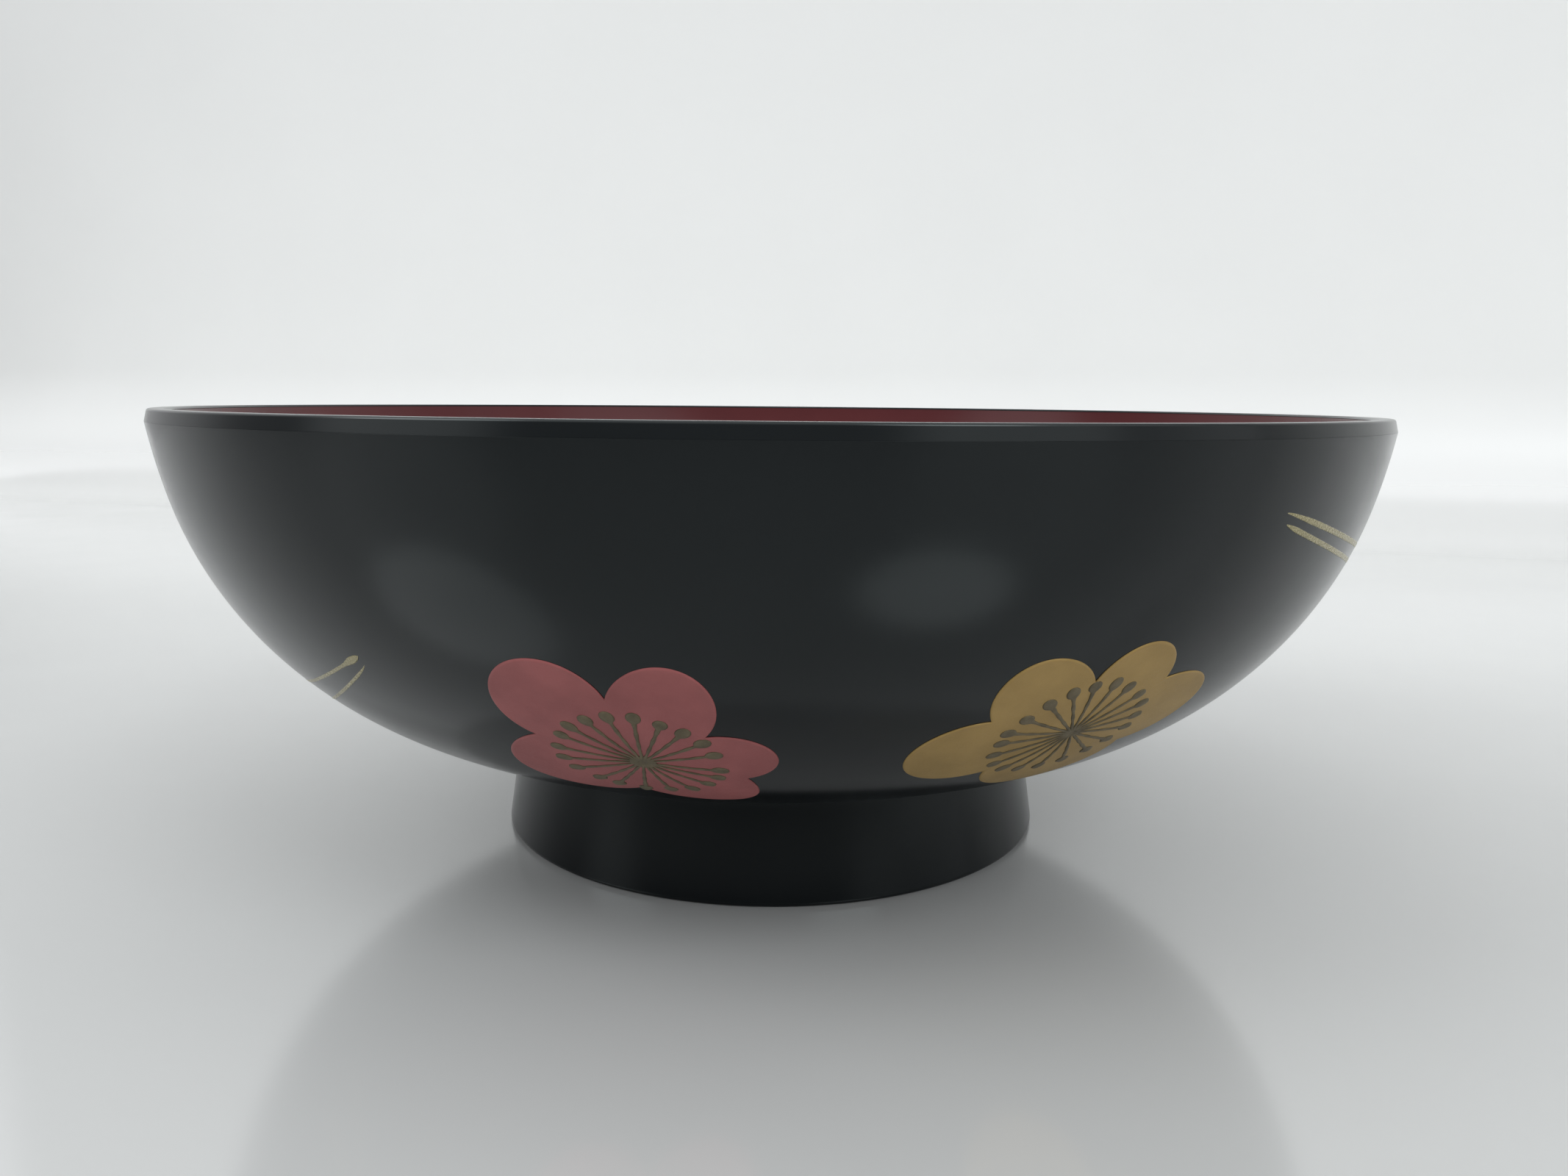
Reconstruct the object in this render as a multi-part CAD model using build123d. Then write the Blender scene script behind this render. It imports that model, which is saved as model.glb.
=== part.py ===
from build123d import *
import math
import os

os.makedirs("parts", exist_ok=True)

# A lacquered serving bowl on a foot ring, with raised plum blossoms and pine needles.
#
# Frame: the origin is the centre of the foot's resting face, +Z runs up the bowl's axis, and
# the side with both blossoms faces -Y. Lengths are in millimetres and angles in degrees.
# A slope is the wall's angle from the horizontal, seen in a section through the axis.

# The body's outside: three arcs, each tangent to the next, from the lip down to the axis
RIM_RADIUS = 120.0  # the widest point, at the lip's lower edge
HEIGHT = 87.8
RIM_SLOPE = 81.45
UPPER_RADIUS = 113.0
UPPER_TURN = 6.75
BELLY_RADIUS = 69.9
BELLY_TURN = 58.6
SPARE_TURN = 1.6  # the arcs begin this far above the lip, whose seat then trims them
WALL = 3.6
COAT = 0.4  # thickness of each lacquer coat, ground layers included

# The bevelled lip that closes the wall's top edge
LIP_HEIGHT = 2.15
LIP_BEVEL = 0.5
LIP_WIDTH = 3.0
LIP_DEPTH_INSIDE = 0.4
LIP_ROUND = 0.5

# The foot ring
FOOT_RADIUS = 58.0
FOOT_LEAN = 8.6
FOOT_WIDTH = 6.0
FOOT_EDGE = 0.8
FLARE_HEIGHT = 18.8  # where the ring starts to sweep out under the body
FLARE_RADIUS = 2.2
FLARE_TURN = 70.0
FOOT_OVERLAP = 1.0  # the section runs this far into the body, which is then cut out of it

# Raised paint: petals and needles lie on the black coat, stamens on the petals
PETAL_RISE = 0.2
STAMEN_RISE = 0.15
STAMENS = 20
STAMEN_RING = 11.65
FILAMENT_WIDTH = 0.45
ANTHER_LENGTH = 1.3  # half of the oval, along the filament
ANTHER_WIDTH = 1.1

CLEARANCE = 5.0  # how far a cutting shape reaches past what it cuts
CUT_REACH = 14.0  # how far a motif's outline is carried through the curved wall, each way

# Worked out from the sizes above
RIM_Z = HEIGHT - LIP_HEIGHT
BELLY_SLOPE = RIM_SLOPE - UPPER_TURN
BASE_SLOPE = BELLY_SLOPE - BELLY_TURN


def direction(slope):
    """Unit vector out of the wall, in the section, where the wall has this slope."""
    angle = math.radians(slope)
    return Vector(math.sin(angle), -math.cos(angle))


upper_centre = Vector(RIM_RADIUS, RIM_Z) - direction(RIM_SLOPE) * UPPER_RADIUS
belly_centre = upper_centre + direction(BELLY_SLOPE) * (UPPER_RADIUS - BELLY_RADIUS)
BASE_RADIUS = BELLY_RADIUS + belly_centre.X / math.sin(math.radians(BASE_SLOPE))
base_centre = belly_centre - direction(BASE_SLOPE) * (BASE_RADIUS - BELLY_RADIUS)


def section_curve(inset):
    """The outside's three arcs, moved inset into the wall and begun a little above the lip."""
    start = RIM_SLOPE + SPARE_TURN
    return [
        CenterArc(upper_centre, UPPER_RADIUS - inset, start - 90, BELLY_SLOPE - start),
        CenterArc(belly_centre, BELLY_RADIUS - inset, BELLY_SLOPE - 90, -BELLY_TURN),
        CenterArc(base_centre, BASE_RADIUS - inset, BASE_SLOPE - 90, -BASE_SLOPE),
    ]


def turned(section):
    """The solid that a section in the X-Z plane makes when it goes round the axis."""
    return revolve(Plane.XZ * section, Axis.Z)


def lip_seat():
    """The space above the wall's top edge, which slants up towards the inside under the lip."""
    outer = Vector(RIM_RADIUS, RIM_Z)
    inner = Vector(RIM_RADIUS - LIP_WIDTH - LIP_BEVEL, HEIGHT - LIP_DEPTH_INSIDE)
    past = (inner - outer).normalized() * CLEARANCE
    low = outer - past
    high = inner + past
    top = high.Y + CLEARANCE
    return turned(make_face(Polyline(low, high, (high.X, top), (low.X, top), close=True)))


def wall_layer(outer_inset, inner_inset):
    """A skin of the wall between two depths, trimmed to the lip's seat."""
    outside = section_curve(outer_inset)
    inside = section_curve(inner_inset)
    top = Line(outside[0] @ 0, inside[0] @ 0)
    bottom = Line(outside[-1] @ 1, inside[-1] @ 1)
    return turned(make_face(outside + inside + [top, bottom])) - lip_seat()


def black_lip():
    """The lip: its outside leans in towards the top, and both top edges are rounded."""
    outline = Polyline(
        (RIM_RADIUS, RIM_Z),
        (RIM_RADIUS - LIP_BEVEL, HEIGHT),
        (RIM_RADIUS - LIP_WIDTH, HEIGHT),
        (RIM_RADIUS - LIP_WIDTH - LIP_BEVEL, HEIGHT - LIP_DEPTH_INSIDE),
        close=True,
    )
    section = make_face(outline)
    section = fillet(section.vertices().group_by(Axis.Y)[-1], LIP_ROUND)
    return turned(section)


def foot_ring():
    """The ring: both walls lean in, the inside by half as much, and the outside flares at the top."""
    lean = math.radians(FOOT_LEAN)
    flare_start = Vector(FOOT_RADIUS - FLARE_HEIGHT * math.tan(lean), FLARE_HEIGHT)
    flare = JernArc(flare_start, (-math.sin(lean), math.cos(lean)), FLARE_RADIUS, -FLARE_TURN)
    top = FLARE_HEIGHT + FLARE_RADIUS + FOOT_OVERLAP
    inner_radius = FOOT_RADIUS - FOOT_WIDTH
    inner_top_radius = inner_radius - top * math.tan(lean / 2)
    rest = Polyline(
        flare @ 1,
        ((flare @ 1).X, top),
        (inner_top_radius, top),
        (inner_radius, 0),
        (FOOT_RADIUS, 0),
        flare_start,
    )
    section = make_face([flare] + rest.edges())
    section = chamfer(section.vertices().group_by(Axis.Y)[0], FOOT_EDGE)
    return turned(section) - wall_layer(0, WALL)


def motif_plane(azimuth, slope):
    """Plane that touches the belly at an azimuth and slope: X goes round, Y up the wall."""
    angle = math.radians(azimuth)
    outward = Vector(math.cos(angle), math.sin(angle), 0)
    section = direction(slope)
    normal = outward * section.X + Vector(0, 0, section.Y)
    centre = outward * belly_centre.X + Vector(0, 0, belly_centre.Y)
    return Plane(centre + normal * BELLY_RADIUS, x_dir=Vector(0, 0, 1).cross(outward), z_dir=normal)


def raised(outline, plane, low, high):
    """A motif as paint: the layer from low to high above the coat, inside the outline."""
    return extrude(plane * outline, CUT_REACH, both=True) & wall_layer(-high, -low)


def petals(ring_centre, disc, rows):
    """Five overlapping ovals round a disc. A row is bearing, reach, half length, half width."""
    outline = Circle(disc)
    for bearing, reach, length, width in rows:
        outline += Rot(0, 0, bearing) * Pos(reach, 0) * Ellipse(length, width)
    return Pos(*ring_centre) * outline


def stamens(centre, hub, hub_radius, first):
    """Filaments from the hub to a ring of oval anthers, the first one at this bearing."""
    outline = Pos(*hub) * Circle(hub_radius)
    for number in range(STAMENS):
        bearing = math.radians(first + 360 / STAMENS * number)
        tip = Vector(*centre) + Vector(math.cos(bearing), math.sin(bearing)) * STAMEN_RING
        run = tip - Vector(*hub)
        turn = math.degrees(math.atan2(run.Y, run.X))
        filament = Pos(run.length / 2, 0) * Rectangle(run.length, FILAMENT_WIDTH)
        anther = Pos(run.length, 0) * Ellipse(ANTHER_LENGTH, ANTHER_WIDTH)
        outline += Pos(*hub) * Rot(0, 0, turn) * (filament + anther)
    return outline


def needles(rows):
    """Slim strokes pointed at both ends. A row is near end, far end and greatest width."""
    strokes = Sketch()
    for near, far, width in rows:
        run = Vector(*far) - Vector(*near)
        side = Vector(-run.Y, run.X).normalized() * width / 2
        middle = Vector(*near) + run / 2
        upper = ThreePointArc(near, middle + side, far)
        lower = ThreePointArc(near, middle - side, far)
        strokes += make_face([upper, lower])
    return strokes


# Red blossom, left of the front and low on the belly
RED_PLANE = motif_plane(-100.5, 42.7)
RED_RING = (-1.5, 0.0)
RED_DISC = 12.6
RED_STAMEN_CENTRE = (-1.2, -0.4)
RED_HUB = (-0.6, -0.6)
RED_HUB_RADIUS = 2.0
RED_FIRST_STAMEN = 9.3  # bearing
RED_PETALS = [
    (128.6, 15.5, 8.8, 8.8),
    (64.7, 13.7, 8.8, 7.5),
    (1.4, 12.4, 8.0, 6.7),
    (-53.0, 9.6, 12.0, 9.0),
    (-152.6, 10.4, 11.9, 10.2),
]

# Gold blossom, right of the front
GOLD_PLANE = motif_plane(-64.5, 46.9)
GOLD_RING = (0.4, -1.1)
GOLD_DISC = 12.3
GOLD_STAMEN_CENTRE = (0.6, -1.3)
GOLD_HUB = (0.7, -0.9)
GOLD_HUB_RADIUS = 1.6
GOLD_FIRST_STAMEN = 8.7  # bearing
GOLD_PETALS = [
    (-164.5, 15.3, 9.9, 8.8),
    (136.1, 13.0, 8.7, 7.7),
    (66.5, 12.2, 7.6, 7.2),
    (7.5, 14.3, 10.6, 8.8),
    (-72.0, 9.0, 12.4, 11.8),
]

# Pine needles, a pair on each side, each running back round the wall
LEFT_PLANE = motif_plane(-128.0, 56.0)
LEFT_NEEDLES = [((9.5, 1.8), (-32.0, -17.6), 1.2), ((9.4, -0.1), (-31.0, -23.6), 0.9)]
RIGHT_PLANE = motif_plane(-44.0, 73.0)
RIGHT_NEEDLES = [((-18.0, 4.8), (34.0, -7.0), 1.1), ((-16.8, 2.8), (32.0, -10.4), 1.1)]

STAMEN_TOP = PETAL_RISE + STAMEN_RISE
red_petals = petals(RED_RING, RED_DISC, RED_PETALS)
red_stamens = stamens(RED_STAMEN_CENTRE, RED_HUB, RED_HUB_RADIUS, RED_FIRST_STAMEN)
gold_petals = petals(GOLD_RING, GOLD_DISC, GOLD_PETALS)
gold_stamens = stamens(GOLD_STAMEN_CENTRE, GOLD_HUB, GOLD_HUB_RADIUS, GOLD_FIRST_STAMEN)

NODES = {
    "bowl_core": wall_layer(COAT, WALL - COAT),
    "foot_ring": foot_ring(),
    "outer_black_coat": wall_layer(0, COAT),
    "inner_red_coat": wall_layer(WALL - COAT, WALL),
    "black_lip": black_lip(),
    "red_blossom_petals": raised(red_petals, RED_PLANE, 0, PETAL_RISE),
    "red_blossom_stamens": raised(red_stamens, RED_PLANE, PETAL_RISE, STAMEN_TOP),
    "gold_blossom_petals": raised(gold_petals, GOLD_PLANE, 0, PETAL_RISE),
    "gold_blossom_stamens": raised(gold_stamens, GOLD_PLANE, PETAL_RISE, STAMEN_TOP),
    "left_pine_needles": raised(needles(LEFT_NEEDLES), LEFT_PLANE, 0, PETAL_RISE),
    "right_pine_needles": raised(needles(RIGHT_NEEDLES), RIGHT_PLANE, 0, PETAL_RISE),
}

for name, solid in NODES.items():
    export_step(solid, f"parts/{name}.step")
    print(name, len(solid.solids()), "solid(s)", round(solid.volume, 1), "mm3")
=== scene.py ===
# %% [markdown]
# # A lacquered serving bowl
# The bowl is turned from wood, coated inside and out with lacquer, and painted with two plum
# blossoms and a few pine needles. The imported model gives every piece's place, so this lesson
# builds only the looks: smooth skins, raised paint, finishes, a little studio and the camera.

# %% The frame and the tools
import math

import bpy
import numpy as np
from mathutils import Matrix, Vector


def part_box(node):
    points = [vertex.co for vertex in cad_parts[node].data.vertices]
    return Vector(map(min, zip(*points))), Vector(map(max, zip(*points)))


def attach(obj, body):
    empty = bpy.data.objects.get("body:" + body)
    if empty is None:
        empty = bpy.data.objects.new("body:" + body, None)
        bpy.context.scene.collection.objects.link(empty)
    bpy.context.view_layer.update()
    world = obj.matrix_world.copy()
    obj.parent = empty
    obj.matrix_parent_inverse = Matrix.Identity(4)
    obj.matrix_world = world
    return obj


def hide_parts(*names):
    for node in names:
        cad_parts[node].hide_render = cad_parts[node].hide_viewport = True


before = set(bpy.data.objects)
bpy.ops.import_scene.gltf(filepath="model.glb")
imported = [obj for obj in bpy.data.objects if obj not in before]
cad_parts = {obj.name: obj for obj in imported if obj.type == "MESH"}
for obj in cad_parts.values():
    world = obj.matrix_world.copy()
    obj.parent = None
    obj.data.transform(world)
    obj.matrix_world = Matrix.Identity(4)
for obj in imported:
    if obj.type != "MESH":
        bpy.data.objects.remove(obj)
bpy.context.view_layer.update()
scene = bpy.context.scene
MM = 0.001
print("nodes:", sorted(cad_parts))

# %% [markdown]
# ## The camera
# It is a phone held low and close, a little above the lip, so the near rim looks much wider than
# the foot. An object's world matrix holds the camera's right, up and backward directions as its
# columns. Building those from three small turns keeps the tilt exact.

# %% Camera
CAMERA_PLACE = (0.0, -0.25408, 0.09048)
PITCH, YAW, ROLL = (math.radians(a) for a in (-9.311, -0.554, -0.527))
SENSOR_WIDTH, LENS = 36.0, 26.628  # mm


def turn(axis, angle):
    """Rotation matrix about the X, Y or Z axis: cosine and sine in the other two rows."""
    c, s = math.cos(angle), math.sin(angle)
    i, j = {"x": (1, 2), "y": (2, 0), "z": (0, 1)}[axis]
    m = np.eye(3)
    m[i, i], m[i, j], m[j, i], m[j, j] = c, -s, s, c
    return m


right, forward, up = (turn("z", YAW) @ turn("x", PITCH) @ turn("y", ROLL)).T
camera_data = bpy.data.cameras.new("camera")
camera_data.sensor_width = SENSOR_WIDTH
camera_data.lens = LENS
camera_data.clip_start = 10 * MM
camera = bpy.data.objects.new("camera", camera_data)
columns = np.eye(4)
columns[:3, 0], columns[:3, 1], columns[:3, 2], columns[:3, 3] = right, up, -forward, CAMERA_PLACE
camera.matrix_world = Matrix(columns.tolist())
scene.collection.objects.link(camera)
scene.camera = camera
scene.view_settings.view_transform = "Standard"
print("lens:", LENS, "mm, standing", round(-CAMERA_PLACE[1], 3), "m in front of the bowl's axis")

# %% [markdown]
# ## The section of the bowl
# A turner works from a section. Here it is three arcs, each tangent to the next: a nearly
# straight upper wall, a round belly and a flat bottom. Moving every arc's radius in by the same
# amount gives any deeper layer, so the coats fit each other exactly. The arcs hang from the rim,
# whose radius and height come from the frame.

# %% Section arcs
RIM_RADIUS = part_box("black_lip")[1].x
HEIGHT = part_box("black_lip")[1].z
LIP_HEIGHT = 2.15 * MM
RIM_Z = HEIGHT - LIP_HEIGHT
RIM_SLOPE, BELLY_SLOPE, BASE_SLOPE = 81.45, 74.7, 16.1  # degrees from level, where each arc ends
UPPER_RADIUS = 113.0 * MM
BELLY_RADIUS = 69.9 * MM
WALL = 3.6 * MM
COAT = 0.4 * MM
FINE, COARSE = (40, 150, 60), (4, 14, 8)  # points on the upper, belly and bottom arcs
HAIR = 0.01  # degrees; a last thin row of faces that keeps the shading straight up to a sharp edge


def direction(slope):
    """Unit vectors (radius, height) out of the wall: the sine and minus cosine of the slope."""
    angle = np.radians(slope)
    return np.stack([np.sin(angle), -np.cos(angle)], axis=-1)


upper_centre = np.array([RIM_RADIUS, RIM_Z]) - direction(RIM_SLOPE) * UPPER_RADIUS
belly_centre = upper_centre + direction(BELLY_SLOPE) * (UPPER_RADIUS - BELLY_RADIUS)
base_radius = BELLY_RADIUS + belly_centre[0] / math.sin(math.radians(BASE_SLOPE))
base_centre = belly_centre - direction(BASE_SLOPE) * (base_radius - BELLY_RADIUS)


def wall_curve(inset, top_slope, steps):
    """Section points from the axis up to a slope: centre plus radius, less inset, times direction."""
    upper_steps, belly_steps, base_steps = steps
    base_slopes = np.linspace(0, BASE_SLOPE, base_steps)
    belly_slopes = np.linspace(BASE_SLOPE, BELLY_SLOPE, belly_steps)[1:]
    upper_slopes = np.append(np.linspace(BELLY_SLOPE, top_slope - HAIR, upper_steps)[1:], top_slope)
    base = base_centre + direction(base_slopes) * (base_radius - inset)
    belly = belly_centre + direction(belly_slopes) * (BELLY_RADIUS - inset)
    upper = upper_centre + direction(upper_slopes) * (UPPER_RADIUS - inset)
    return np.concatenate([base, belly, upper])


print("belly centre:", np.round(belly_centre / MM, 2), "mm")

# %% [markdown]
# ## Two helpers that make meshes
# A turned surface is a function of two parameters: the place along a section and the angle
# about the axis. Paint is a grid too, but laid on the belly. Both end as a grid of points, so
# one helper numbers the corners of its cells and another one makes a smooth mesh of them.

# %% Mesh helpers
def grid_faces(rows, columns, wrap_rows, wrap_columns):
    """Four corners for each cell of a grid, numbered row by row, with either direction closed."""
    i, j = np.meshgrid(
        np.arange(rows if wrap_rows else rows - 1),
        np.arange(columns if wrap_columns else columns - 1),
        indexing="ij",
    )
    i2, j2 = (i + 1) % rows, (j + 1) % columns
    corners = [i * columns + j, i * columns + j2, i2 * columns + j2, i2 * columns + j]
    return np.stack(corners, axis=-1).reshape(-1, 4)


def make_piece(name, points, quads, triangles=None):
    """A mesh object at the origin from an array of points and arrays of face corners."""
    faces = quads.tolist() + ([] if triangles is None else triangles.tolist())
    mesh = bpy.data.meshes.new(name)
    mesh.from_pydata(points.reshape(-1, 3).tolist(), [], faces)
    mesh.polygons.foreach_set("use_smooth", np.ones(len(faces), dtype=bool))
    mesh.validate()
    piece = bpy.data.objects.new(name, mesh)
    scene.collection.objects.link(piece)
    print(name, len(mesh.vertices), "points,", len(mesh.polygons), "faces")
    return piece


# %% [markdown]
# ## Turning a section
# Blender can turn a section with its Screw or Spin tool. Here the whole surface is worked out at
# once instead: the radii times the cosines and sines of all the angles. That keeps the seam
# closed without merging points, and the poles on the axis become one point each.

# %% Turned surfaces
SEGMENTS = 360


def turned(name, section, segments=SEGMENTS):
    """A section carried round the axis: x and y are its radius times cosine and sine of the angle.

    The section runs anticlockwise, seen with the radius to the right. One that starts and ends
    on the axis is closed there by a fan of triangles, and any other one is closed on itself.
    """
    angle = np.linspace(0, 2 * math.pi, segments, endpoint=False)
    on_axis = section[0, 0] < 1e-9
    body = section[1:-1] if on_axis else section
    ring = np.stack(
        [
            body[:, None, 0] * np.cos(angle),
            body[:, None, 0] * np.sin(angle),
            np.repeat(body[:, None, 1], segments, axis=1),
        ],
        axis=-1,
    )
    quads = grid_faces(len(body), segments, not on_axis, True)
    points = ring.reshape(-1, 3)
    if not on_axis:
        return make_piece(name, points, quads)
    start, end = len(points), len(points) + 1
    poles = np.array([[0, 0, section[0, 1]], [0, 0, section[-1, 1]]])
    here = np.arange(segments)
    there = (here + 1) % segments
    last = start - segments
    fans = np.concatenate(
        [
            np.stack([np.full(segments, start), there, here], axis=-1),
            np.stack([np.full(segments, end), last + here, last + there], axis=-1),
        ]
    )
    return make_piece(name, np.concatenate([points, poles]), quads, fans)


def arc_points(centre, radius, start, end, count):
    """Points on a circle between two angles in degrees, measured from the radius direction."""
    angle = np.radians(np.linspace(start, end, count))
    return np.asarray(centre) + radius * np.stack([np.cos(angle), np.sin(angle)], axis=-1)


print("one turn has", SEGMENTS, "steps")

# %% [markdown]
# ## The coats
# Lacquer is built up in many thin layers on the wood. The black outside and the red inside are
# modelled as two skins 0.4 mm thick, each closed all round, because a real coat has a back face
# that grips the wood. A fine grid matters on the side that shows, because a polished surface
# shows every facet. The hidden side needs only a few rows.

# %% Black outside and red inside
TOP_OUT, TOP_IN = RIM_SLOPE, RIM_SLOPE + 0.6


def skin(name, outer_inset, inner_inset, top_slope, outer_steps, inner_steps):
    """A coat: the outer curve from the axis up to the lip, then the inner curve back down."""
    outer = wall_curve(outer_inset, top_slope, outer_steps)
    inner = wall_curve(inner_inset, top_slope, inner_steps)[::-1]
    return turned(name, np.concatenate([outer, inner]))


black_outside = skin("black_outside", 0.0, COAT, TOP_OUT, FINE, COARSE)
red_inside = skin("red_inside", WALL - COAT, WALL, TOP_IN, COARSE, FINE)

# %% [markdown]
# ## The lip
# The lip is a separate band of thick black lacquer that guards the wood's end grain. Its outside
# leans in a little, which leaves a fine line all round where it meets the wall. The two top
# edges are rounded, because a sharp edge would chip.

# %% Lip
LIP_BEVEL = 0.5 * MM
LIP_WIDTH = 3.0 * MM
LIP_DEPTH_INSIDE = 0.4 * MM
LIP_ROUND = 0.5 * MM
LIP_CORNER = 0.02 * MM  # the lower edges stay almost sharp, so that the coats meet them
GUARD = 0.03 * MM  # from each arc to its extra point


def rounded(corners, radii, count=9):
    """A closed outline with its corners rounded: each corner becomes an arc tangent to its sides.

    One more point stands a hair outside each end of an arc, which keeps the flat sides looking flat.
    """
    corners = np.asarray(corners, dtype=float)
    outline = []
    for k, radius in enumerate(radii):
        here = corners[k]
        back = corners[k - 1] - here
        ahead = corners[(k + 1) % len(corners)] - here
        back, ahead = back / np.linalg.norm(back), ahead / np.linalg.norm(ahead)
        half = math.acos(np.clip(back @ ahead, -1, 1)) / 2
        middle = (back + ahead) / np.linalg.norm(back + ahead)
        centre = here + middle * radius / math.sin(half)
        first = here + back * radius / math.tan(half) - centre
        last = here + ahead * radius / math.tan(half) - centre
        share = np.linspace(0, 1, count)[:, None]
        bow = first * (1 - share) + last * share
        arc = centre + radius * bow / np.linalg.norm(bow, axis=1, keepdims=True)
        outline.append(np.concatenate([[arc[0] + back * GUARD], arc, [arc[-1] + ahead * GUARD]]))
    return np.concatenate(outline)


lip_corners = [
    (RIM_RADIUS, RIM_Z),
    (RIM_RADIUS - LIP_BEVEL, HEIGHT),
    (RIM_RADIUS - LIP_WIDTH, HEIGHT),
    (RIM_RADIUS - LIP_WIDTH - LIP_BEVEL, HEIGHT - LIP_DEPTH_INSIDE),
]
lip = turned("lip", rounded(lip_corners, [LIP_CORNER, LIP_ROUND, LIP_ROUND, LIP_CORNER]))

# %% [markdown]
# ## The foot
# The foot ring lifts the bowl clear of the table. It leans in as it rises and sweeps out under
# the body, so that the lacquer runs from one to the other without a crack. The hidden top
# follows the body's own curve, and the resting face has a small rounded edge on both sides.

# %% Foot ring
FOOT_RADIUS = 58.0 * MM
FOOT_WIDTH = 6.0 * MM
FOOT_LEAN = 8.6
FOOT_EDGE = 0.8 * MM
FLARE_HEIGHT = 18.8 * MM
FLARE_RADIUS = 2.2 * MM
FLARE_TURN = 70.0
HIDDEN_RISE = 0.05 * MM  # how far the hidden top reaches into the body
EDGE_END = 0.15  # of the way up the side, where the edge's arc is well past
FOOT_STEPS, FLARE_STEPS, EDGE_STEPS = 12, 14, 7


def body_height(radius):
    """Height of the body's underside at a radius, on the base arc: Pythagoras from its centre."""
    return base_centre[1] - np.sqrt(base_radius**2 - np.asarray(radius) ** 2)


def foot_section():
    """Up the outside, over the flare, in along the body, down the inside and across the foot."""
    lean = math.tan(math.radians(FOOT_LEAN))
    flare_foot = np.array([FOOT_RADIUS - FLARE_HEIGHT * lean, FLARE_HEIGHT])
    side = np.array([math.cos(math.radians(FOOT_LEAN)), math.sin(math.radians(FOOT_LEAN))])
    flare_centre = flare_foot + side * FLARE_RADIUS
    turned_in = 180 + FOOT_LEAN
    flare = arc_points(flare_centre, FLARE_RADIUS, turned_in, turned_in - FLARE_TURN, FLARE_STEPS)
    flare = flare[flare[:, 1] < body_height(flare[:, 0])]
    inner_low = FOOT_RADIUS - FOOT_WIDTH
    inner_high = inner_low - FLARE_HEIGHT * lean / 2
    under = np.linspace(flare[-1, 0] + 2 * HIDDEN_RISE, inner_high, FOOT_STEPS)
    seam = np.stack([under, body_height(under) + HIDDEN_RISE], axis=-1)
    share = np.linspace(EDGE_END, 1, FOOT_STEPS)[:, None]
    wall = np.array([FOOT_RADIUS - FOOT_EDGE * lean, FOOT_EDGE]) * (1 - share) + flare_foot * share
    inside = (inner_low - FOOT_EDGE * lean, FOOT_EDGE * 3)
    corners = [inside, (inner_low, 0), (FOOT_RADIUS, 0), tuple(wall[0])]
    tiny = FOOT_EDGE / 10
    outline = rounded(corners, [tiny, FOOT_EDGE, FOOT_EDGE, tiny], EDGE_STEPS)
    _, inner_edge, outer_edge, _ = np.split(outline, len(corners))
    return np.concatenate([inner_edge, outer_edge, wall, flare[1:], seam])


foot = turned("foot", foot_section())

# %% [markdown]
# ## Laying paint on the belly
# Each motif is drawn flat, as a painter would plan it, on a plane that touches the belly. Every
# point then drops along the plane's normal until it meets the belly's arc, and stands off it by
# the paint's thickness. The drop is found with a few Newton steps on whole arrays.

# %% Motif planes
PAINT_RISE = 0.2 * MM
LINE_RISE = 0.15 * MM
NEWTON_STEPS = 8


def motif_frame(azimuth, slope):
    """Origin, right, up and outward directions of the plane that touches the belly there."""
    angle = math.radians(azimuth)
    out = np.array([math.cos(angle), math.sin(angle), 0.0])
    radial, height = direction(slope)
    normal = out * radial + np.array([0, 0, height])
    origin = out * belly_centre[0] + np.array([0, 0, belly_centre[1]]) + normal * BELLY_RADIUS
    across = np.array([-out[1], out[0], 0.0])
    return origin, across, np.cross(normal, across), normal


def lay(flat, place, rise):
    """Flat points (x, y) in mm, carried to the belly and lifted by rise along its own normal.

    The belly is a ring torus: a point's distance to the belly's centre circle equals its radius.
    Newton's step divides the distance error by how fast it changes along the plane's normal.
    """
    origin, across, upward, normal = motif_frame(*place)
    start = origin + flat[..., :1] * MM * across + flat[..., 1:] * MM * upward
    depth = np.zeros(flat.shape[:-1] + (1,))
    for _ in range(NEWTON_STEPS):
        point = start + depth * normal
        radius = np.hypot(point[..., :1], point[..., 1:2])
        side, height = radius - belly_centre[0], point[..., 2:] - belly_centre[1]
        reach = np.hypot(side, height)
        outward = np.concatenate([point[..., :2] / radius * side, height], axis=-1) / reach
        depth = depth - (reach - BELLY_RADIUS) / (outward @ normal)[..., None]
    return point + outward * np.asarray(rise)[..., None]


print("paint stands", PAINT_RISE / MM, "mm proud, and lines", LINE_RISE / MM, "mm")

# %% [markdown]
# ## The outline of a blossom
# The petals of each blossom are one layer of matt paint. Five ovals overlap round a disc, and
# the outline is the furthest of them in each direction. A Boolean union of five cylinders would
# do it too, but it leaves long thin faces that shade badly, and a formula has none.

# %% Petal outline
OUTLINE_STEPS = 1080


def petal_reach(bearing, disc, rows):
    """Distance from the centre to the outline: the furthest root of the ray against each oval."""
    reach = np.full(bearing.shape, disc)
    for angle, offset, length, width in rows:
        c, s = np.cos(bearing - math.radians(angle)), np.sin(bearing - math.radians(angle))
        a = (c / length) ** 2 + (s / width) ** 2
        b = offset * c / length**2
        inside = b * b - a * ((offset / length) ** 2 - 1)
        hit = np.where((inside > 0) & (c > 0), (b + np.sqrt(np.maximum(inside, 0))) / a, 0)
        reach = np.maximum(reach, hit)
    return reach


print("an outline has", OUTLINE_STEPS, "points")

# %% [markdown]
# ## The petals
# Wet paint gathers along the edge of a stroke, so the layer is thickest there and a little lower
# in the middle. Rings of points run from the middle out to the outline, close together near
# the edge, and one more ring lies underneath, so that the layer is a real closed solid.

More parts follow.
